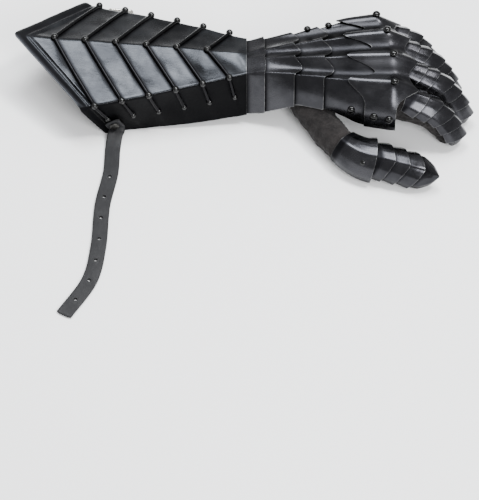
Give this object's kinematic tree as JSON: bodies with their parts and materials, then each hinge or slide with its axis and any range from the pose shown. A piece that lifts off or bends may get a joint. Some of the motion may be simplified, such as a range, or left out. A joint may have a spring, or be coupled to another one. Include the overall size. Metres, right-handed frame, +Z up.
{
  "type": "armoured gauntlet",
  "caption": "Gothic style plate gauntlet for the left hand: ribbed flared cuff, fluted lames, knuckle plate and pointed finger scales over a suede glove, with a strap and buckle",
  "frame": {"origin": "On the floor, under the middle of the whole gauntlet's box, strap included", "axes": "+X runs from the cuff to the fingertips, +Y towards the little finger, +Z up out of the back of the hand"},
  "size_m": [0.4238, 0.3858, 0.0882],
  "materials": {
    "cuff_steel": "blackened and satin polished",
    "hand_steel": "blackened and polished",
    "suede": "black suede",
    "harness_leather": "smooth dark grey strap leather",
    "nickel": "nickel plated, a little dull"
  },
  "bodies": {
    "root": {"buckle": "nickel", "buckle_rivet": "nickel", "buckle_tab": "harness_leather", "cuff_plate": "cuff_steel", "cuff_rib_1": "cuff_steel", "cuff_rib_2": "cuff_steel", "cuff_rib_3": "cuff_steel", "cuff_rib_4": "cuff_steel", "cuff_rib_5": "cuff_steel", "cuff_rib_6": "cuff_steel", "glove_finger_wall": "suede", "glove_hand": "suede", "glove_index": "suede", "glove_little": "suede", "glove_middle": "suede", "glove_ring": "suede", "glove_sleeve": "suede", "glove_thumb": "suede", "hand_lame_1": "hand_steel", "hand_lame_2": "hand_steel", "hand_lame_3": "hand_steel", "index_scale_1": "hand_steel", "index_scale_2": "hand_steel", "index_scale_3": "hand_steel", "index_scale_4": "hand_steel", "index_scale_5": "hand_steel", "index_tip": "hand_steel", "knuckle_plate": "hand_steel", "little_scale_1": "hand_steel", "little_scale_2": "hand_steel", "little_scale_3": "hand_steel", "little_scale_4": "hand_steel", "little_scale_5": "hand_steel", "little_tip": "hand_steel", "middle_scale_1": "hand_steel", "middle_scale_2": "hand_steel", "middle_scale_3": "hand_steel", "middle_scale_4": "hand_steel", "middle_scale_5": "hand_steel", "middle_scale_6": "hand_steel", "middle_tip": "hand_steel", "ring_scale_1": "hand_steel", "ring_scale_2": "hand_steel", "ring_scale_3": "hand_steel", "ring_scale_4": "hand_steel", "ring_scale_5": "hand_steel", "ring_scale_6": "hand_steel", "ring_tip": "hand_steel", "strap": "harness_leather", "strap_rivet": "nickel", "thumb_base_plate": "hand_steel", "thumb_scale_1": "hand_steel", "thumb_scale_2": "hand_steel", "thumb_scale_3": "hand_steel", "thumb_tip": "hand_steel", "wrist_lame": "hand_steel"}
  },
  "joints": []
}
